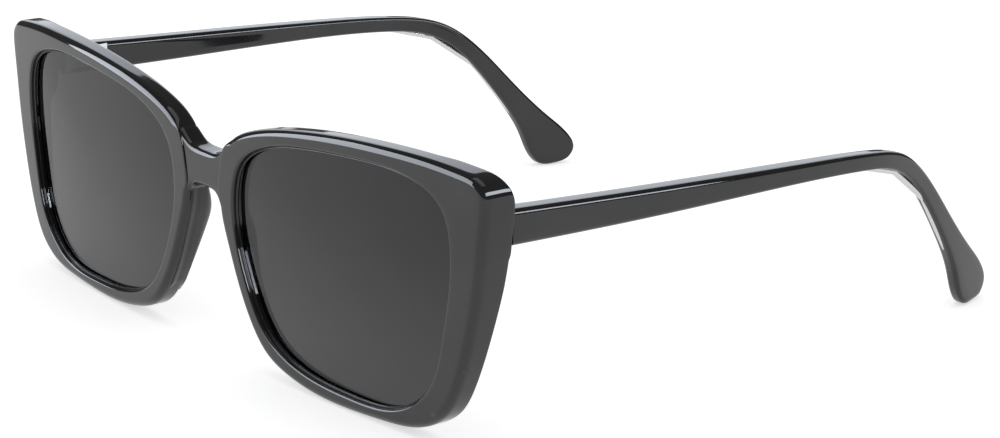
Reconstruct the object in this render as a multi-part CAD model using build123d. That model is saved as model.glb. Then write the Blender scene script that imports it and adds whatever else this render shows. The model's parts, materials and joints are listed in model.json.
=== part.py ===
from build123d import *
import os

# Millimetres. x runs to the wearer's left, y to the back, z up. Shapes are drawn with
# the foremost line of the front at y = 0 and the resting surface at z = 0. They are
# moved at the end, so that the origin is under the middle of the open glasses.
depth = 128.0
half_width = 73.3
height = 45.7

# Front sheet, bent to a gentle curve around the face
front_radius = 620.0
front_thickness = 4.2
bridge_recess = 0.8
bridge_creases = [(-7.4, 39.0), (-5.0, 28.9), (-5.0, 20.0), (5.0, 20.0), (5.0, 28.9), (7.4, 39.0)]

# End pieces, thick enough to carry the hinges, as (x, y) seen from above and (y, z) from the side
end_back = 10.3
end_plan = [(60.5, 6.0), (60.5, 7.2), (65.6, end_back), (80.0, end_back), (80.0, 6.0)]
end_side = [
    (6.0, 14.0), (7.6, 14.0), (end_back, 32.0), (end_back, 41.8), (7.6, 44.6), (6.0, 44.6),
]

# Lenses and the groove that holds them
lens_overlap = 0.6
lens_front = 1.9
lens_thickness = 1.8
lens_gap = 0.05
opening_steps = 40

# Nose pads, rooted on the back of the nasal rims
pad_root = 4.0

# Temples
temple_thickness = 4.0
temple_start = 10.45
core_radius = 0.6

# Hinges: five barrels on one vertical screw, three on the front and two on the temple
hinge_x = 66.9
hinge_y = 12.4
hinge_low = 34.7
hinge_high = 38.7
barrel_count = 5
barrel_gap = 0.06
barrel_radius = 1.4
neck_width = 1.9
screw_radius = 0.65
running_gap = 0.05
screw_head_radius = 1.15
screw_head_height = 0.6
screw_slot_width = 0.35
screw_slot_depth = 0.3

# Hinge plates, sunk into the acetate, and the rivets that hold them
front_plate_x = (65.95, 72.2)
front_plate_depth = 1.0
front_rivet_x = (68.2, 70.8)
temple_plate_x = (68.6, 69.4)
temple_plate_end = 22.0
temple_rivet_y = (17.0, 20.4)
rivet_radius = 0.55
rivet_length = 2.2

# Left half of the front's outline as (x, z), from the top of the bridge round to its arch
rim_outline = [
    (0.0, 35.3), (4.6, 35.9), (7.6, 38.1), (13.2, 41.3), (20.0, 43.0), (28.0, 44.3),
    (40.0, 45.4), (51.0, 45.7), (61.0, 45.5), (68.8, 45.0), (72.4, 43.8), (73.3, 41.2),
    (72.8, 35.8), (72.2, 31.0), (71.4, 26.0), (70.3, 20.9), (67.2, 10.8), (63.3, 5.3),
    (57.6, 1.9), (49.0, 0.4), (40.5, 0.0), (31.5, 0.2), (24.0, 1.4), (17.8, 3.8),
    (13.0, 8.8), (9.5, 14.9), (6.9, 20.9), (5.0, 26.8), (0.0, 29.3),
]

# Left lens opening as (x, z)
opening_outline = [
    (9.4, 27.8), (11.5, 35.2), (18.0, 39.4), (30.4, 41.9), (44.3, 42.9), (56.7, 42.2),
    (63.5, 38.9), (65.5, 31.4), (63.9, 19.1), (60.6, 9.3), (53.6, 3.9), (41.2, 2.4),
    (27.8, 3.5), (18.7, 7.2), (12.6, 15.7),
]

# Side of a temple as (y, z): along the top to the tip, round it, and back along the bottom
temple_outline = [
    (temple_start, 39.6), (36.0, 38.2), (57.0, 37.0), (75.6, 35.8), (92.0, 34.1),
    (99.0, 31.9), (106.0, 26.6), (114.0, 18.0), (122.0, 10.3), (126.6, 6.0),
    (127.9, 3.2), (126.3, 1.0), (123.0, 0.2), (120.2, 0.1), (118.6, 1.8),
    (116.1, 7.0), (112.0, 14.0), (107.2, 20.4), (101.6, 26.5), (95.6, 30.3),
    (87.0, 32.2), (75.7, 33.1), (57.0, 33.5), (36.0, 33.8), (temple_start, 34.0),
]

# Outer face of the left temple as (x, y), seen from above
temple_plan = [
    (73.1, temple_start), (72.6, 38.0), (72.1, 62.0), (70.9, 82.0), (69.6, 93.0),
    (67.5, 103.0), (65.2, 113.0), (62.4, 124.0), (60.7, 130.0),
]

# Middle of the left core wire as (x, y, z), pushed in from the hinge end
core_route = [
    (71.2, temple_start, 35.4), (70.3, 57.0, 35.2), (68.7, 86.0, 33.2), (66.9, 97.5, 30.0),
    (65.0, 107.0, 23.2), (62.3, 118.0, 8.5),
]

# Nose pad sections from top to bottom: z, middle x, half width, half depth, turn
pad_sections = [
    (29.4, 6.9, 1.0, 0.9, 0.0), (26.4, 7.7, 1.9, 3.0, 14.0), (21.5, 9.3, 2.3, 4.4, 20.0),
    (16.0, 11.7, 2.4, 4.9, 20.0), (10.6, 14.5, 2.1, 3.8, 14.0), (6.6, 17.4, 1.2, 1.4, 0.0),
]


def box_between(low, high):
    size = [b - a for a, b in zip(low, high)]
    return Pos(*low) * Box(*size, align=(Align.MIN, Align.MIN, Align.MIN))


def both_sides(shape):
    return [shape, mirror(shape, about=Plane.YZ)]


# Curved upright sheet that starts a given distance behind the front surface
def front_sheet(start, thickness):
    ring = Circle(front_radius - start) - Circle(front_radius - start - thickness)
    window = Rectangle(2 * half_width + 12.0, 40.0, align=(Align.CENTER, Align.MIN))
    sheet = Pos(0, front_radius) * ring & Pos(0, min(start, 0) - 1.0) * window
    return Pos(0, 0, -5.0) * extrude(sheet, height + 10.0)


# Face drawn as (x, z), extruded along y right through the front
def through(face):
    return Pos(0, 60.0, 0) * (Plane.XZ * extrude(face, 80.0))


def rim_face():
    right = [(-x, z) for x, z in reversed(rim_outline[1:-1])]
    return make_face(Spline(*rim_outline, *right, periodic=True))


# Lens opening, made larger all round by the given amount
def opening_face(grow=0.0):
    edge = Spline(*opening_outline, periodic=True)
    if grow:
        steps = [i / opening_steps for i in range(opening_steps)]
        outward = [edge @ s + grow * (edge % s).rotate(Axis.Z, 90) for s in steps]
        edge = Spline(*outward, periodic=True)
    return make_face(edge)


def end_piece():
    plan = make_face(Polyline(*end_plan, close=True))
    side = make_face(Polyline(*end_side, close=True))
    return extrude(plan, height) & (Plane.YZ * extrude(side, 2 * half_width))


def bridge_cut():
    face = make_face(Polyline(*bridge_creases, close=True))
    return Pos(0, bridge_recess, 0) * (Plane.XZ * extrude(face, 8.0))


def hinge_plate_front():
    low = (front_plate_x[0], end_back - front_plate_depth, hinge_low)
    return box_between(low, (front_plate_x[1], end_back, hinge_high))


def hinge_plate_temple():
    low = (temple_plate_x[0], hinge_y + neck_width / 4, hinge_low)
    return box_between(low, (temple_plate_x[1], temple_plate_end, hinge_high))


# Barrels of one hinge leaf, with the necks that join them to its plate
def barrels(numbers, neck_low, neck_high):
    pitch = (hinge_high - hinge_low + barrel_gap) / barrel_count
    leaf = []
    for number in numbers:
        base = hinge_low + number * pitch
        top = base + pitch - barrel_gap
        neck = box_between((*neck_low, base), (*neck_high, top))
        barrel = Pos(hinge_x, hinge_y, base) * extrude(Circle(barrel_radius), top - base)
        leaf.append(neck + barrel)
    return leaf


def screw_hole():
    hole = extrude(Circle(screw_radius + running_gap), height)
    return Pos(hinge_x, hinge_y, 0) * hole


def make_front_hinge():
    leaf = hinge_plate_front()
    half_neck = neck_width / 2
    low = (hinge_x - half_neck, end_back)
    for barrel in barrels((0, 2, 4), low, (hinge_x + half_neck, hinge_y)):
        leaf += barrel
    return leaf - screw_hole()


def make_temple_hinge():
    leaf = hinge_plate_temple()
    low = (hinge_x, hinge_y + neck_width / 4)
    for barrel in barrels((1, 3), low, (temple_plate_x[1], hinge_y + 1.25 * neck_width)):
        leaf += barrel
    return leaf - screw_hole()


def make_screw():
    shank = Pos(0, 0, hinge_low) * extrude(Circle(screw_radius), hinge_high - hinge_low)
    head = Pos(0, 0, hinge_high) * extrude(Circle(screw_head_radius), screw_head_height)
    slot_height = hinge_high + screw_head_height - screw_slot_depth / 2
    slot = Pos(0, 0, slot_height) * Box(3 * screw_head_radius, screw_slot_width, screw_slot_depth)
    return Pos(hinge_x, hinge_y, 0) * (shank + head - slot)


def make_front_rivets():
    middle = (hinge_low + hinge_high) / 2
    root = end_back - front_plate_depth
    pin = Plane.XZ * extrude(Circle(rivet_radius), rivet_length)
    return [Pos(x, root, middle) * pin for x in front_rivet_x]


def make_temple_rivets():
    middle = (hinge_low + hinge_high) / 2
    pin = Plane.YZ * extrude(Circle(rivet_radius), rivet_length)
    return [Pos(temple_plate_x[1], y, middle) * pin for y in temple_rivet_y]


def make_front():
    sheet = front_sheet(0.0, front_thickness)
    for end in both_sides(end_piece()):
        sheet += end
    front = through(rim_face()) & sheet
    groove = front_sheet(lens_front - lens_gap, lens_thickness + 2 * lens_gap)
    groove &= through(opening_face(lens_overlap + lens_gap))
    sunk = [hinge_plate_front(), *make_front_rivets()]
    for cut in [through(opening_face()), groove, *sunk]:
        for side in both_sides(cut):
            front -= side
    return front - bridge_cut()


def make_lens():
    return through(opening_face(lens_overlap)) & front_sheet(lens_front, lens_thickness)


def make_pad():
    sections = []
    for z, x, wide, deep, turn in pad_sections:
        sections.append(Pos(x, pad_root, z) * Rot(0, 0, -turn) * Ellipse(wide, deep))
    return loft(sections) - front_sheet(-8.0, 8.0 + front_thickness)


def make_core():
    route = Polyline(*core_route)
    start = Plane(origin=route @ 0, z_dir=route % 0)
    core = sweep(start * Circle(core_radius), path=route, transition=Transition.RIGHT)
    front_end = box_between((0, temple_start, 0), (2 * half_width, depth, height))
    return core & front_end


def make_temple():
    side = make_face(Spline(*temple_outline) + Line(temple_outline[-1], temple_outline[0]))
    outer = Spline(*temple_plan)
    inner = Spline(*[(x - temple_thickness, y) for x, y in temple_plan])
    ends = Line(outer @ 0, inner @ 0) + Line(outer @ 1, inner @ 1)
    plan = make_face(outer + inner + ends)
    temple = extrude(plan, height) & (Plane.YZ * extrude(side, 2 * half_width))
    for sunk in [hinge_plate_temple(), make_core(), *make_temple_rivets()]:
        temple -= sunk
    return temple


def save(name, solids):
    placed = [Pos(0, -depth / 2, 0) * solid for shape in solids for solid in shape.solids()]
    export_step(placed[0] if len(placed) == 1 else Compound(placed), f"parts/{name}.step")


def save_pair(name, solids):
    save(f"{name}_left", solids)
    save(f"{name}_right", [mirror(solid, about=Plane.YZ) for solid in solids])


os.makedirs("parts", exist_ok=True)
save("frame_front", [make_front()])
save_pair("lens", [make_lens()])
save_pair("nose_pad", [make_pad()])
save_pair("front_hinge", [make_front_hinge()])
save_pair("front_rivets", make_front_rivets())
save_pair("hinge_screw", [make_screw()])
save_pair("temple", [make_temple()])
save_pair("temple_core", [make_core()])
save_pair("temple_hinge", [make_temple_hinge()])
save_pair("temple_rivets", make_temple_rivets())
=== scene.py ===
import json
import math
import bpy
import bmesh
import numpy as np
from mathutils import Matrix, Vector


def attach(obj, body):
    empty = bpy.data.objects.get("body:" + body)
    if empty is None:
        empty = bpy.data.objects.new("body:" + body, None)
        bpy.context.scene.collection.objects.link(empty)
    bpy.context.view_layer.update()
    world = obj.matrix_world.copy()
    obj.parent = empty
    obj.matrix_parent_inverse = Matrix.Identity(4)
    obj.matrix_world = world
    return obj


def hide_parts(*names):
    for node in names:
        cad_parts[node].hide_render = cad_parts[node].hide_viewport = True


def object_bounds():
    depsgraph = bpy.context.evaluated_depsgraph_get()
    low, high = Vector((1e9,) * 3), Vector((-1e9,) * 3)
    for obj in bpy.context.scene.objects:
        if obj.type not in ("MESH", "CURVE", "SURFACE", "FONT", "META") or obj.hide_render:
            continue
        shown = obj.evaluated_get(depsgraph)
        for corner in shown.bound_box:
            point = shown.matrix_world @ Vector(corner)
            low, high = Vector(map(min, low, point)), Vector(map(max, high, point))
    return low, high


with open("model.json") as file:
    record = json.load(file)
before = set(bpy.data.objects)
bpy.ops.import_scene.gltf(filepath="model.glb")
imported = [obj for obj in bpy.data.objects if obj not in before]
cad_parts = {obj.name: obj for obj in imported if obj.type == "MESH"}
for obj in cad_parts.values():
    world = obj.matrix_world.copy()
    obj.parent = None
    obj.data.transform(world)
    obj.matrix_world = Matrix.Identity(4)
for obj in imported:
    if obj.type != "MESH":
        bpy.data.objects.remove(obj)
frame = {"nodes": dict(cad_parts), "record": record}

mm = 0.001
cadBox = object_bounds()
floorLevel = cadBox[0][2]
hingePlace = frame["record"]["behaviour"]["joints"][0]["pos_m"]
hingeDepth = 12.4  # mm from the foremost line of the front back to the hinge screws
frontLine = hingePlace[1] - hingeDepth * mm


# Curves are drawn in mm, with y counted back from the foremost line of the front.

def place(points):
    moved = np.array(points, float) * mm
    moved[:, 1] += frontLine
    return moved


def smoothPath(points, count, closed=False, samples=4000):
    # cubic curve through every point, sampled at even steps along its length
    knots = np.array(points, float)
    if closed:
        knots = np.vstack([knots, knots[:1]])
    chord = np.linalg.norm(np.diff(knots, axis=0), axis=1)
    slope = np.diff(knots, axis=0) / chord[:, None]
    size = len(knots)
    system = np.zeros((size, size))
    pull = np.zeros((size, knots.shape[1]))
    for i in range(1, size - 1):
        system[i, i - 1:i + 2] = chord[i - 1], 2 * (chord[i - 1] + chord[i]), chord[i]
        pull[i] = 6 * (slope[i] - slope[i - 1])
    if closed:
        system[0, [0, 1, -2]] = 2 * (chord[-1] + chord[0]), chord[0], chord[-1]
        pull[0] = 6 * (slope[0] - slope[-1])
        system[-1, [0, -1]] = 1, -1
    else:
        system[0, 0] = system[-1, -1] = 1
    bend = np.linalg.solve(system, pull)
    reached = np.concatenate([[0], np.cumsum(chord)])

    def at(where):
        i = np.clip(np.searchsorted(reached, where, side="right") - 1, 0, size - 2)
        a = ((reached[i + 1] - where) / chord[i])[:, None]
        b = 1 - a
        span = (chord[i] ** 2 / 6)[:, None]
        curve = (a**3 - a) * bend[i] + (b**3 - b) * bend[i + 1]
        return a * knots[i] + b * knots[i + 1] + span * curve

    fine = np.linspace(0, reached[-1], samples)
    run = np.concatenate([[0], np.cumsum(np.linalg.norm(np.diff(at(fine), axis=0), axis=1))])
    return at(np.interp(np.linspace(0, run[-1], count, endpoint=not closed), run, fine))


def outwardOf(loop):
    along = np.roll(loop, -1, 0) - np.roll(loop, 1, 0)
    side = np.stack([along[:, 1], -along[:, 0]], 1)
    side /= np.linalg.norm(side, axis=1)[:, None]
    return side if ((loop - loop.mean(0)) * side).sum() > 0 else -side


def smoothStep(value):
    value = np.clip(value, 0, 1)
    return value * value * (3 - 2 * value)


def roundedLoop(width, height, radius, perCorner=7, perSide=4):
    # rectangle with round corners about the origin, as (across, up)
    loop = []
    corners = [(1, 1, 0), (-1, 1, 90), (-1, -1, 180), (1, -1, 270)]
    for right, up, start in corners:
        middle = np.array([right * (width / 2 - radius), up * (height / 2 - radius)])
        for step in range(perCorner):
            turn = math.radians(start + 90 * step / (perCorner - 1))
            loop.append(middle + radius * np.array([math.cos(turn), math.sin(turn)]))
        turn = math.radians(start + 90)
        across = width / 2 - radius if up * right > 0 else height / 2 - radius
        ahead = np.array([math.cos(turn + math.pi / 2), math.sin(turn + math.pi / 2)])
        last = loop[-1]
        loop += [last + ahead * 2 * across * step / perSide for step in range(1, perSide)]
    return np.array(loop)


def skinRings(rings, capped=True, weld=1e-7):
    # the first ring is laid down, and every next ring is extruded from the one before
    mesh = bmesh.new()
    verts = [mesh.verts.new(point) for point in rings[0]]
    edges = [mesh.edges.new(pair) for pair in zip(verts, verts[1:] + verts[:1])]
    if capped:
        mesh.faces.new(verts)
    for ring in rings[1:]:
        made = bmesh.ops.extrude_edge_only(mesh, edges=edges)["geom"]
        fresh = {part for part in made if isinstance(part, bmesh.types.BMVert)}
        ahead = [[edge.other_vert(vert) for edge in vert.link_edges] for vert in verts]
        verts = [next(vert for vert in around if vert in fresh) for around in ahead]
        for vert, point in zip(verts, ring):
            vert.co = point
        edges = [mesh.edges.get(pair) for pair in zip(verts, verts[1:] + verts[:1])]
    if capped:
        bmesh.ops.contextual_create(mesh, geom=edges)
    bmesh.ops.remove_doubles(mesh, verts=mesh.verts, dist=weld)
    bmesh.ops.recalc_face_normals(mesh, faces=mesh.faces)
    return mesh


def mirrored(mesh):
    copy = mesh.copy()
    bmesh.ops.scale(copy, vec=(-1, 1, 1), verts=copy.verts)
    bmesh.ops.recalc_face_normals(copy, faces=copy.faces)
    return copy


def makePiece(name, mesh, finish, body=None, stands=(), sharp=38):
    data = bpy.data.meshes.new(name)
    mesh.to_mesh(data)
    mesh.free()
    data.materials.append(finish)
    data.polygons.foreach_set("use_smooth", [True] * len(data.polygons))
    data.set_sharp_from_angle(angle=math.radians(sharp))
    piece = bpy.data.objects.new(name, data)
    bpy.context.collection.objects.link(piece)
    if body:
        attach(piece, body)
    if stands:
        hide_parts(*stands)
    return piece


# Shader groups

def newGroup(name, inputs, outputs):
    group = bpy.data.node_groups.new(name, "ShaderNodeTree")
    for label, value in inputs.items():
        socket = group.interface.new_socket(label, in_out="INPUT", socket_type="NodeSocketFloat")
        socket.default_value = value
    for label in outputs:
        group.interface.new_socket(label, in_out="OUTPUT", socket_type="NodeSocketFloat")
    nodes = group.nodes
    return group, nodes.new("NodeGroupInput"), nodes.new("NodeGroupOutput")


def addNode(tree, kind, settings=None, **values):
    node = tree.nodes.new(kind)
    for key, value in (settings or {}).items():
        setattr(node, key, value)
    for label, value in values.items():
        node.inputs[label.replace("_", " ")].default_value = value
    return node


def mathNode(tree, operation, first, second):
    node = addNode(tree, "ShaderNodeMath", {"operation": operation})
    for socket, value in zip(node.inputs, (first, second)):
        if isinstance(value, (int, float)):
            socket.default_value = value
        else:
            tree.links.new(value, socket)
    return node.outputs[0]


def softMask(tree, value, low, high):
    node = addNode(tree, "ShaderNodeMapRange", {"interpolation_type": "SMOOTHSTEP"})
    node.inputs["From Min"].default_value = low
    node.inputs["From Max"].default_value = high
    tree.links.new(value, node.inputs["Value"])
    return node.outputs["Result"]


def buildEdgeWear():
    # mask that is 1 where a rounded edge has been handled most
    group, given, out = newGroup("edgeWear", {"Amount": 1.0, "Patch Size": 180.0}, ["Mask"])
    shape = addNode(group, "ShaderNodeNewGeometry")
    spot = addNode(group, "ShaderNodeTexCoord")
    patches = addNode(group, "ShaderNodeTexNoise", Detail=5.0, Roughness=0.6)
    group.links.new(spot.outputs["Object"], patches.inputs["Vector"])
    group.links.new(given.outputs["Patch Size"], patches.inputs["Scale"])
    edge = softMask(group, shape.outputs["Pointiness"], 0.52, 0.62)
    rubbed = softMask(group, patches.outputs["Fac"], 0.42, 0.62)
    worn = mathNode(group, "MULTIPLY", edge, rubbed)
    group.links.new(mathNode(group, "MULTIPLY", worn, given.outputs["Amount"]), out.inputs["Mask"])
    return group


def buildHandling():
    # soft smears from fingers, and hair-fine scratches as a height
    inputs = {"Smear Size": 60.0, "Scratch Size": 900.0}
    group, given, out = newGroup("handling", inputs, ["Smears", "Scratches"])
    spot = addNode(group, "ShaderNodeTexCoord")
    cloud = addNode(group, "ShaderNodeTexNoise", Detail=6.0, Roughness=0.62, Distortion=0.8)
    group.links.new(spot.outputs["Object"], cloud.inputs["Vector"])
    group.links.new(given.outputs["Smear Size"], cloud.inputs["Scale"])
    group.links.new(softMask(group, cloud.outputs["Fac"], 0.45, 0.75), out.inputs["Smears"])
    lines = None
    for turn, stretch in ((0.5, (1, 0.03, 1)), (2.1, (1, 1, 0.03))):
        mapping = addNode(group, "ShaderNodeMapping", Rotation=(turn, turn * 0.7, turn), Scale=stretch)
        hair = addNode(group, "ShaderNodeTexNoise", Detail=2.0)
        group.links.new(spot.outputs["Object"], mapping.inputs["Vector"])
        group.links.new(mapping.outputs["Vector"], hair.inputs["Vector"])
        group.links.new(given.outputs["Scratch Size"], hair.inputs["Scale"])
        mask = softMask(group, hair.outputs["Fac"], 0.66, 0.72)
        lines = mask if lines is None else mathNode(group, "MAXIMUM", lines, mask)
    group.links.new(lines, out.inputs["Scratches"])
    return group


def buildDust():
    # sparse fine specks
    group, given, out = newGroup("dust", {"Speck Size": 700.0, "Amount": 1.0}, ["Mask"])
    spot = addNode(group, "ShaderNodeTexCoord")
    cells = addNode(group, "ShaderNodeTexVoronoi", Randomness=1.0)
    where = addNode(group, "ShaderNodeTexNoise", Scale=90.0, Detail=3.0)
    for node in (cells, where):
        group.links.new(spot.outputs["Object"], node.inputs["Vector"])
    group.links.new(given.outputs["Speck Size"], cells.inputs["Scale"])
    speck = softMask(group, cells.outputs["Distance"], 0.16, 0.08)
    patch = softMask(group, where.outputs["Fac"], 0.55, 0.7)
    dusty = mathNode(group, "MULTIPLY", speck, patch)
    group.links.new(mathNode(group, "MULTIPLY", dusty, given.outputs["Amount"]), out.inputs["Mask"])
    return group


edgeWear = buildEdgeWear()
handling = buildHandling()
dust = buildDust()


def useGroup(tree, group, **values):
    node = addNode(tree, "ShaderNodeGroup", {"node_tree": group}, **values)
    return node.outputs


def blendColour(tree, mask, first, second):
    node = addNode(tree, "ShaderNodeMix", {"data_type": "RGBA"})  # colour sockets: 6, 7 in and 2 out
    tree.links.new(mask, node.inputs["Factor"])
    for socket, value in ((node.inputs[6], first), (node.inputs[7], second)):
        if isinstance(value, tuple):
            socket.default_value = (*value, 1)
        else:
            tree.links.new(value, socket)
    return node.outputs[2]


def shifted(tree, mask, low, high):
    node = addNode(tree, "ShaderNodeMapRange")
    node.inputs["To Min"].default_value = low
    node.inputs["To Max"].default_value = high
    tree.links.new(mask, node.inputs["Value"])
    return node.outputs["Result"]


def newMaterial(name, **plain):
    material = bpy.data.materials.new(name)
    material.use_nodes = True
    tree = material.node_tree
    shader = tree.nodes["Principled BSDF"]
    for label, value in plain.items():
        shader.inputs[label.replace("_", " ")].default_value = value
    return material, tree, shader


acetateLook = dict(
    dark=(0.010, 0.010, 0.011), cloud=(0.017, 0.017, 0.019), wear=(0.06, 0.06, 0.063),
    speck=(0.18, 0.18, 0.18), cloudSize=38.0, cloudFrom=0.35, cloudTo=0.7,
    polish=0.03, smeared=0.085, wornMatt=0.12, scratchDepth=0.02)


def polishedAcetate():
    look = acetateLook
    material, tree, shader = newMaterial("polishedAcetate", IOR=1.49)
    spot = addNode(tree, "ShaderNodeTexCoord")
    cloud = addNode(tree, "ShaderNodeTexNoise", Scale=look["cloudSize"], Detail=7.0, Distortion=1.2)
    tree.links.new(spot.outputs["Object"], cloud.inputs["Vector"])
    hands = useGroup(tree, handling, Smear_Size=70.0, Scratch_Size=1400.0)
    worn = useGroup(tree, edgeWear, Amount=0.5, Patch_Size=160.0)["Mask"]
    specks = useGroup(tree, dust, Speck_Size=900.0, Amount=0.35)["Mask"]
    clouded = softMask(tree, cloud.outputs["Fac"], look["cloudFrom"], look["cloudTo"])
    body = blendColour(tree, clouded, look["dark"], look["cloud"])
    body = blendColour(tree, worn, body, look["wear"])
    body = blendColour(tree, specks, body, look["speck"])
    rough = shifted(tree, hands["Smears"], look["polish"], look["smeared"])
    rough = mathNode(tree, "ADD", rough, mathNode(tree, "MULTIPLY", worn, look["wornMatt"]))
    bump = addNode(tree, "ShaderNodeBump", Strength=look["scratchDepth"], Distance=0.00005)
    tree.links.new(hands["Scratches"], bump.inputs["Height"])
    tree.links.new(body, shader.inputs["Base Color"])
    tree.links.new(rough, shader.inputs["Roughness"])
    tree.links.new(bump.outputs["Normal"], shader.inputs["Normal"])
    return material


# the lens's dark tint is real; its soft gradient, deepest at the brow and lighter towards the cheek, is
# painted light standing in for the brighter floor reflected low on the lens; heights in metres
lensLook = dict(
    topTint=(0.0215, 0.021, 0.0225), paintedLightLowTint=(0.0525, 0.052, 0.054), topTintHeight=0.040, paintedLightLowHeight=0.002,
    paintedFadeWobble=0.004, polish=0.0, smeared=0.012)


def tintedLens():
    look = lensLook
    material, tree, shader = newMaterial("tintedLens", IOR=1.3, Transmission_Weight=1.0)
    hands = useGroup(tree, handling, Smear_Size=45.0, Scratch_Size=1800.0)
    spot = addNode(tree, "ShaderNodeTexCoord")
    split = addNode(tree, "ShaderNodeSeparateXYZ")
    tree.links.new(spot.outputs["Object"], split.inputs["Vector"])
    uneven = mathNode(tree, "MULTIPLY", hands["Smears"], look["paintedFadeWobble"])
    height = mathNode(tree, "ADD", split.outputs["Z"], uneven)
    # painted light: the lens colour lightens from the top towards the bottom by height, with a wobbly
    # edge
    rise = softMask(tree, height, look["paintedLightLowHeight"], look["topTintHeight"])
    tintWithPaintedLight = blendColour(tree, rise, look["paintedLightLowTint"], look["topTint"])
    rough = shifted(tree, hands["Smears"], look["polish"], look["smeared"])
    tree.links.new(tintWithPaintedLight, shader.inputs["Base Color"])
    tree.links.new(rough, shader.inputs["Roughness"])
    return material


steelLook = dict(
    bright=(0.66, 0.66, 0.67), dull=(0.46, 0.46, 0.47), worn=(0.80, 0.79, 0.77),
    low=0.2, high=0.38, grainDepth=0.12)


def satinSteel():
    look = steelLook
    material, tree, shader = newMaterial("satinSteel", Metallic=1.0)
    spot = addNode(tree, "ShaderNodeTexCoord")
    stretch = addNode(tree, "ShaderNodeMapping", Scale=(1, 1, 12))
    grain = addNode(tree, "ShaderNodeTexNoise", Scale=1500.0, Detail=4.0)
    tree.links.new(spot.outputs["Object"], stretch.inputs["Vector"])
    tree.links.new(stretch.outputs["Vector"], grain.inputs["Vector"])
    hands = useGroup(tree, handling, Smear_Size=260.0, Scratch_Size=2600.0)
    worn = useGroup(tree, edgeWear, Amount=0.8, Patch_Size=500.0)["Mask"]
    body = blendColour(tree, grain.outputs["Fac"], look["bright"], look["dull"])
    body = blendColour(tree, worn, body, look["worn"])
    bump = addNode(tree, "ShaderNodeBump", Strength=look["grainDepth"], Distance=0.00002)
    tree.links.new(grain.outputs["Fac"], bump.inputs["Height"])
    tree.links.new(body, shader.inputs["Base Color"])
    rough = shifted(tree, hands["Smears"], look["low"], look["high"])
    tree.links.new(rough, shader.inputs["Roughness"])
    tree.links.new(bump.outputs["Normal"], shader.inputs["Normal"])
    return material


acetate = polishedAcetate()
lensTint = tintedLens()
steel = satinSteel()
print("materials ready")


# The front: two rims round the lenses, joined by a saddle bridge

front = dict(
    bend=620.0, thickness=4.2, outerRound=1.3, innerRound=0.42, backRound=0.9, backInner=0.3,
    creaseRound=0.22, creaseX=(9.0, 7.0), creaseLow=(26.5, 29.0),  # crisp where the bridge starts
    endBackRound=0.3, endX=(58.0, 64.0),  # and crisp at the back of the end pieces
    groove=0.6, grooveFront=1.21, grooveBack=3.2, grooveRound=0.06, grooveTaper=0.97, steps=400)

# where the front thickens towards the hinges: a long ramp, and a flat boss under the hinge plate
endPiece = dict(
    back=10.3, rampX=(46.0, 71.5), rampLow=(8.0, 40.0), rampTop=(47.0, 40.5),
    bossX=(59.6, 65.4), bossLow=(27.5, 33.0), bossTop=(43.8, 40.2))

beadProfile = [
    # a fine raised line just in front of each lens: how far in towards the lens, and how deep
    (0.0, 0.7), (0.02, 0.78), (0.07, 0.84), (0.13, 0.83), (0.19, 0.76), (0.26, 0.71), (0.33, 0.71),
    (0.39, 0.76), (0.42, 0.84), (0.42, 0.95), (0.38, 1.08), (0.3, 1.16), (0.15, 1.2),
]

rimPoints = [
    (4.95, 29.0), (5.5, 33.2), (6.4, 36.4), (8.2, 38.6), (13.6, 41.35), (20.0, 43.0), (28.0, 44.3),
    (40.0, 45.5), (51.0, 46.0), (61.0, 46.0), (68.3, 45.5), (71.4, 44.8), (73.1, 43.2),
    (73.4, 40.8), (72.8, 35.8), (72.2, 31.0), (71.4, 26.0), (70.2, 20.6), (67.1, 10.9),
    (63.5, 5.1), (57.7, 1.7), (49.0, 0.4), (40.5, 0.0), (31.5, 0.2), (24.0, 1.4), (17.8, 3.8),
    (13.0, 8.8), (9.5, 14.9), (6.9, 20.9), (5.3, 25.4),
]

openingPoints = [
    (9.4, 27.8), (11.5, 35.2), (18.0, 39.4), (30.4, 41.9), (44.3, 42.9), (56.7, 42.2),
    (63.5, 38.9), (65.5, 31.4), (63.9, 19.1), (60.6, 9.3), (53.6, 3.9), (41.2, 2.4),
    (27.8, 3.5), (18.7, 7.2), (12.6, 15.7),
]


def frontDepth(x):
    return x * x / (2 * front["bend"])


def share(value, span):
    return np.clip((value - span[0]) / (span[1] - span[0]), 0, 1)


def blended(first, second, amount):
    return first + (second - first) * amount


def backDepth(x, z):
    sheet = frontDepth(x) + front["thickness"]
    ramp = share(abs(x), endPiece["rampX"]) ** 2 * smoothStep(share(z, endPiece["rampLow"]))
    ramp = ramp * smoothStep(share(z, endPiece["rampTop"]))
    boss = smoothStep(share(abs(x), endPiece["bossX"])) * smoothStep(share(z, endPiece["bossLow"]))
    boss = boss * smoothStep(share(z, endPiece["bossTop"]))
    return sheet + (endPiece["back"] - sheet) * np.maximum(ramp, boss)


def sameBearing(loop, guide, finer=10):
    # points of the loop that lie in the same directions as the guide's, seen from its middle
    middle = guide.mean(0)
    dense = np.vstack([loop, loop[:1]])
    fine = np.linspace(0, len(loop), len(loop) * finer)
    dense = np.stack([np.interp(fine, range(len(dense)), dense[:, k]) for k in (0, 1)], 1)
    wanted = np.unwrap(np.arctan2(*(guide - middle).T[::-1]))
    found = np.unwrap(np.arctan2(*(dense - middle).T[::-1]))
    if found[0] < found[-1]:
        found, dense = found[::-1], dense[::-1]
    turns = np.concatenate([found + 2 * math.pi * k for k in (1, 0, -1)])[::-1]
    points = np.concatenate([dense] * 3)[::-1]
    return np.stack([np.interp(wanted, turns, points[:, k]) for k in (0, 1)], 1)


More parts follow.
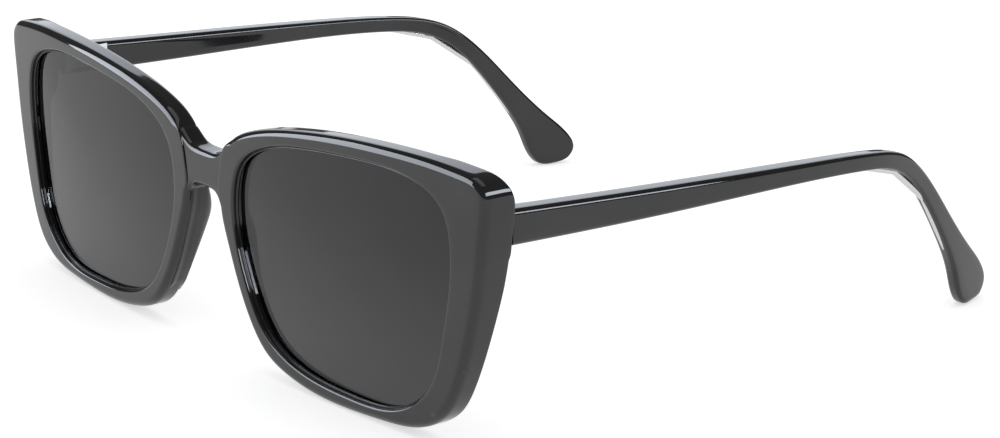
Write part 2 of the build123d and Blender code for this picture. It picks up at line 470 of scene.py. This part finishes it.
def rimRings():
    inner = smoothPath(openingPoints, front["steps"], closed=True)
    outer = sameBearing(smoothPath(rimPoints, 2000, closed=True), inner)
    outOf, awayFrom = outwardOf(outer), outwardOf(inner)
    x, z = outer.T
    atCrease = smoothStep(share(x, front["creaseX"])) * smoothStep(share(z, front["creaseLow"]))
    edge = blended(front["outerRound"], front["creaseRound"], atCrease)[:, None]
    atEnd = smoothStep(share(x, front["endX"]))
    backEdge = blended(front["backRound"], front["endBackRound"], atEnd)[:, None]
    lip, small = front["innerRound"], front["backInner"]
    turnIn, taper = front["grooveRound"], front["grooveTaper"]
    rings = []

    def ring(flat, depth, fromBack=False):
        base = backDepth(*flat.T) if fromBack else frontDepth(flat[:, 0])
        y = base - np.ravel(depth) if fromBack else base + np.ravel(depth)
        rings.append(place(np.stack([flat[:, 0], y, flat[:, 1]], 1)))

    for turn in np.radians(np.linspace(0, 90, 9)):
        ring(outer - outOf * edge * (1 - math.cos(turn)), edge * (1 - math.sin(turn)))
    for part in np.linspace(0, 1, 9)[1:-1]:
        ring((outer - outOf * edge) * (1 - part) + (inner + awayFrom * lip) * part, 0.0)
    for turn in np.radians(np.linspace(90, 0, 7)):
        ring(inner + awayFrom * lip * (1 - math.cos(turn)), lip * (1 - math.sin(turn)))
    for towardLens, depth in beadProfile:
        ring(inner - awayFrom * towardLens, depth)
    for out, step in ((taper, 0.0), (1.0, turnIn)):
        ring(inner + awayFrom * front["groove"] * out, front["grooveFront"] + step)
    for out, step in ((1.0, -turnIn), (taper, 0.0), (0.1, 0.0), (0.0, 0.08)):
        ring(inner + awayFrom * front["groove"] * out, front["grooveBack"] + step)
    for turn in np.radians(np.linspace(0, 90, 5)):
        ring(inner + awayFrom * small * (1 - math.cos(turn)), small * (1 - math.sin(turn)), True)
    for part in np.linspace(1, 0, 22)[1:-1]:
        flat = (outer - outOf * backEdge) * (1 - part) + (inner + awayFrom * small) * part
        ring(flat, 0.0, True)
    for turn in np.radians(np.linspace(90, 0, 7)):
        ring(outer - outOf * backEdge * (1 - math.cos(turn)), backEdge * (1 - math.sin(turn)), True)
    wallBack = backDepth(*outer.T) - frontDepth(outer[:, 0]) - backEdge[:, 0]
    for part in np.linspace(1, 0, 6)[1:-1]:
        ring(outer, wallBack * part + edge[:, 0] * (1 - part))
    rings.append(rings[0])
    return rings


bridge = dict(
    reach=8.4, stations=61, recess=0.25, arch=29.0, archDrop=2.4, archSpan=5.4,
    archMost=1.2, edgeRound=0.9, back=4.2, backSwell=0.5, backSink=0.05, sink=0.02,
    dip=0.6, dipX=(7.0, 8.4))  # its ends dip inside the rims

bridgeTop = [
    (-11.6, 40.55), (-7.6, 38.1), (-4.6, 35.9), (0.0, 35.3), (4.6, 35.9), (7.6, 38.1), (11.6, 40.55),
]


def bridgeRings():
    rings = []
    crest = smoothPath(bridgeTop, 400)
    for x in np.linspace(-bridge["reach"], bridge["reach"], bridge["stations"]):
        top = np.interp(x, crest[:, 0], crest[:, 1]) - bridge["sink"]
        top -= bridge["dip"] * smoothStep(share(abs(x), bridge["dipX"]))
        out = min(abs(x) / bridge["archSpan"], bridge["archMost"])
        low = bridge["arch"] - bridge["archDrop"] * out ** 4
        near = bridge["recess"] + frontDepth(x)
        swell = bridge["backSwell"] * (1 - (x / bridge["reach"]) ** 2)
        far = bridge["back"] + swell - bridge["backSink"]
        loop = roundedLoop(far - near, top - low, bridge["edgeRound"])
        y = (near + far) / 2 + loop[:, 0]
        z = (top + low) / 2 + loop[:, 1]
        rings.append(place(np.stack([np.full_like(y, x), y, z], 1)))
    return rings


def joinSolids(base, *others):
    for other in others:
        union = base.modifiers.new("join", "BOOLEAN")
        union.operation = "UNION"
        union.solver = "EXACT"
        union.object = other
    shape = bpy.data.meshes.new_from_object(base.evaluated_get(bpy.context.evaluated_depsgraph_get()))
    for spare in (base, *others):
        bpy.data.objects.remove(spare)
    return shape


def buildFront():
    left = skinRings(rimRings(), capped=False)
    right = mirrored(left)
    saddle = skinRings(bridgeRings())
    parts = [makePiece(f"rough{i}", mesh, acetate) for i, mesh in enumerate((left, right, saddle))]
    joined = bmesh.new()
    joined.from_mesh(joinSolids(*parts))
    return makePiece("acetateFront", joined, acetate, "front", ["frame_front"])


buildFront()
print("front built")


# Nose pads, swept down the back of the nasal rims

# shares are of the way down the pad; its ends are tucked into the rim
pad = dict(
    top=31.6, low=6.2, height=2.5, riseBy=0.42, fallFrom=0.78, tuck=0.09, tuckTop=0.06, tuckFoot=0.1,
    lensFoot=6.5, sink=0.02, rings=60, steps=60)

padProfile = [
    # share of the way across from the nose to the lens, and height over the back of the rim
    (-0.01, -2.9), (-0.014, -2.2), (-0.014, -1.2), (-0.01, -0.3), (0.0, 0.15), (0.05, 0.5),
    (0.17, 0.84), (0.34, 1.0), (0.52, 0.9), (0.7, 0.62), (0.86, 0.28), (0.95, 0.06), (0.97, -0.3),
    (0.8, -1.0), (0.4, -2.2),
]


def nasalEdge(outline, z, within):
    return min(x for x, height in outline if abs(height - z) < within)


def padRings():
    rim = smoothPath(rimPoints, 3000, closed=True)
    opening = smoothPath(openingPoints, 3000, closed=True)
    profile = smoothPath(padProfile, pad["steps"], closed=True)
    rings = []
    for z in np.linspace(pad["top"], pad["low"], pad["rings"]):
        nasal = nasalEdge(rim, z, 0.1)
        lensSide = nasalEdge(opening, max(z, pad["lensFoot"]), 0.12)
        down = (pad["top"] - z) / (pad["top"] - pad["low"])
        swell = smoothStep(down / pad["riseBy"]) * smoothStep((1 - down) / pad["fallFrom"])
        above = np.maximum(profile[:, 1], 0) * pad["height"] * swell
        buried = 1 - smoothStep(down / pad["tuckTop"]) * smoothStep((1 - down) / pad["tuckFoot"])
        across = profile[:, 0] + pad["tuck"] * buried
        x = nasal + (lensSide - nasal) * across
        y = frontDepth(nasal) + front["thickness"] - pad["sink"] + above + np.minimum(profile[:, 1], 0)
        rings.append(place(np.stack([x, y, np.full_like(x, z)], 1)))
    return rings


for side in ("left", "right"):
    mesh = skinRings(padRings())
    if side == "right":
        mesh = mirrored(mesh)
    makePiece(f"nosePad.{side}", mesh, acetate, "front", [f"nose_pad_{side}"])
print("nose pads built")


# Lenses, gently domed, held in the groove

lens = dict(grow=0.42, setBack=1.36, thickness=1.72, dome=0.8, bevel=0.28, steps=240)


def lensRings():
    outline = smoothPath(openingPoints, lens["steps"], closed=True)
    away = outwardOf(outline)
    middle = outline.mean(0)
    rings = []

    def ring(flat, reach, back=False, deeper=0.0):
        y = frontDepth(flat[:, 0]) + lens["setBack"] - lens["dome"] * (1 - reach * reach)
        y += (lens["thickness"] - deeper) if back else deeper
        rings.append(place(np.stack([flat[:, 0], y, flat[:, 1]], 1)))

    edge = outline + away * (lens["grow"] - lens["bevel"])
    rim = outline + away * lens["grow"]
    reaches = [0.0, 0.12, 0.25, 0.38, 0.5, 0.62, 0.73, 0.82, 0.9, 0.96, 1.0]
    for reach in reaches:
        ring(middle + (edge - middle) * reach, reach)
    ring(rim, 1.0, deeper=lens["bevel"])
    ring(rim, 1.0, back=True, deeper=lens["bevel"])
    for reach in reversed(reaches):
        ring(middle + (edge - middle) * reach, reach, back=True)
    return rings


for side in ("left", "right"):
    mesh = skinRings(lensRings(), capped=False)
    if side == "right":
        mesh = mirrored(mesh)
    makePiece(f"lensGlass.{side}", mesh, lensTint, "front", [f"lens_{side}"])
print("lenses built")


# Temples, from the hinge along the side of the head and down behind the ear

arm = dict(
    thickness=4.0, slim=2.9, slimY=(60.0, 105.0), edgeRound=0.95, stations=260, endInset=0.03)

armTop = [
    (10.37, 39.6), (36.0, 38.2), (57.0, 37.15), (75.6, 36.15), (90.0, 35.0), (100.0, 32.6),
    (107.4, 27.1), (115.4, 18.4), (123.2, 10.5), (127.5, 6.2), (128.7, 3.3), (127.3, 1.1),
    (124.0, 0.1),
]

armLow = [
    (10.37, 33.75), (36.0, 33.3), (57.0, 33.2), (75.7, 32.9), (87.4, 32.2), (96.5, 30.5), (102.8, 26.7),
    (108.5, 20.5), (113.3, 14.0), (117.4, 7.0), (119.8, 1.7), (121.3, 0.3), (124.0, 0.1),
]

armPlan = [
    (72.68, 10.45), (72.6, 38.0), (72.1, 62.0), (70.8, 82.0), (69.3, 93.0),
    (67.1, 103.0), (64.8, 113.0), (62.0, 124.0), (60.3, 130.0),
]


def armRings():
    top = smoothPath(armTop, arm["stations"])
    low = smoothPath(armLow, arm["stations"])
    plan = smoothPath(armPlan, 400)
    tip = top[-1]
    rings = []
    for i in range(arm["stations"]):
        middle = (top[i] + low[i]) / 2
        across = top[i] - low[i]
        height = max(np.linalg.norm(across), 0.02)
        up = across / np.linalg.norm(across) if np.linalg.norm(across) > 1e-6 else up
        left = np.linalg.norm(middle - tip)
        edge = arm["edgeRound"]
        slimmed = smoothStep(share(middle[0], arm["slimY"]))
        thick = full = blended(arm["thickness"], arm["slim"], slimmed)
        if left < edge:
            thick -= 2 * edge * (1 - math.sqrt(max(1 - (1 - left / edge) ** 2, 0)))
        shrink = arm["endInset"] if i == 0 else 0.0
        corner = min(edge, 0.49 * thick, 0.49 * height) - shrink * 0.5
        loop = roundedLoop(thick - 2 * shrink, height - 2 * shrink if height > 1 else height, corner)
        y = middle[0] + loop[:, 1] * up[0]
        z = middle[1] + loop[:, 1] * up[1]
        x = np.interp(y, plan[:, 1], plan[:, 0]) - full / 2 + loop[:, 0]
        rings.append(place(np.stack([x, y, z], 1)))
        if i == 0:
            whole = roundedLoop(thick, height, edge)
            y = middle[0] + arm["endInset"] + whole[:, 1] * up[0]
            x = np.interp(y, plan[:, 1], plan[:, 0]) - full / 2 + whole[:, 0]
            rings.append(place(np.stack([x, y, middle[1] + whole[:, 1] * up[1]], 1)))
    return rings


for side in ("left", "right"):
    mesh = skinRings(armRings())
    if side == "right":
        mesh = mirrored(mesh)
    makePiece(f"templeArm.{side}", mesh, acetate, f"{side}_arm", [f"temple_{side}"])
print("temples built")


# The metal parts keep their own shapes

for name, node in frame["nodes"].items():
    if any(word in name for word in ("hinge", "rivets", "screw", "core")):
        for holder in node.material_slots:
            holder.material = steel


# Floor, light and camera

stage = dict(size=8.0, drop=0.00002, tone=(0.82, 0.82, 0.82), roughness=0.9, glow=0.72)


def buildFloor():
    mesh = bmesh.new()
    bmesh.ops.create_grid(mesh, x_segments=1, y_segments=1, size=stage["size"] / 2)
    bmesh.ops.translate(mesh, vec=(0, 0, floorLevel - stage["drop"]), verts=mesh.verts)
    material, tree, shader = newMaterial("paleFloor", Roughness=stage["roughness"])
    shader.inputs["Base Color"].default_value = (*stage["tone"], 1)
    shader.inputs["Emission Color"].default_value = (*stage["tone"], 1)
    shader.inputs["Emission Strength"].default_value = stage["glow"]
    floor = makePiece("paleFloor", mesh, material)


studio = dict(tone=(1.0, 1.0, 1.0), cardTone=(0.86, 0.92, 1.0), even=0.5, reflected=0.12, aim=0.02)

# every softbox aims at the glasses; the cards only show as reflections in polished faces
softboxes = dict(
    overhead=dict(bearing=90, rise=90, distance=1.3, size=(1.0, 1.0), radiance=1.0, card=False),
    leftCard=dict(bearing=227, rise=19, distance=1.2, size=(0.95, 0.86), radiance=7.0, card=True),
    rightCard=dict(bearing=8, rise=26, distance=1.2, size=(1.7, 0.36), radiance=12.0, card=True),
    backCard=dict(bearing=142, rise=18, distance=1.6, size=(1.5, 0.7), radiance=1.5, card=True))


def addSoftbox(name, bearing, rise, distance, size, radiance, card):
    light = bpy.data.lights.new(name, "AREA")
    light.shape = "RECTANGLE"
    light.size, light.size_y = size
    light.energy = radiance * math.pi * size[0] * size[1]
    light.color = studio["cardTone"] if card else studio["tone"]
    softbox = bpy.data.objects.new(name, light)
    softbox.visible_diffuse = not card
    turn, lift = math.radians(bearing), math.radians(rise)
    level = math.cos(lift)
    away = Vector((math.cos(turn) * level, math.sin(turn) * level, math.sin(lift)))
    aim = (-away).to_track_quat("-Z", "Y").to_matrix().to_4x4()
    softbox.matrix_world = Matrix.Translation(away * distance + Vector((0, 0, studio["aim"]))) @ aim
    bpy.context.collection.objects.link(softbox)


def buildStudio():
    world = bpy.data.worlds.new("studio")
    world.use_nodes = True
    tree = world.node_tree
    sky = tree.nodes["Background"]
    sky.inputs["Color"].default_value = (*studio["tone"], 1)
    ray = addNode(tree, "ShaderNodeLightPath")
    level = shifted(tree, ray.outputs["Is Glossy Ray"], studio["even"], studio["reflected"])
    tree.links.new(level, sky.inputs["Strength"])
    bpy.context.scene.world = world
    for name, values in softboxes.items():
        addSoftbox(name, **values)
    bpy.context.scene.view_settings.view_transform = "Standard"


view = dict(at=(405.7, -249.0, 160.5), yaw=52.364, pitch=16.157, lens=104.4)


def buildCamera():
    yaw, pitch = math.radians(view["yaw"]), math.radians(view["pitch"])
    level = math.cos(pitch)
    back = Vector((math.sin(yaw) * level, -math.cos(yaw) * level, math.sin(pitch)))
    right = Vector((math.cos(yaw), math.sin(yaw), 0))
    up = back.cross(right)
    camera = bpy.data.objects.new("camera", bpy.data.cameras.new("camera"))
    camera.data.lens = view["lens"]
    camera.data.sensor_width = 36.0
    camera.data.clip_start = 0.01
    turn = Matrix((right, up, back)).transposed().to_4x4()
    camera.matrix_world = Matrix.Translation(Vector(place([view["at"]])[0])) @ turn
    bpy.context.collection.objects.link(camera)
    bpy.context.scene.camera = camera


buildFloor()
buildStudio()
buildCamera()
print("stage, light and camera ready")
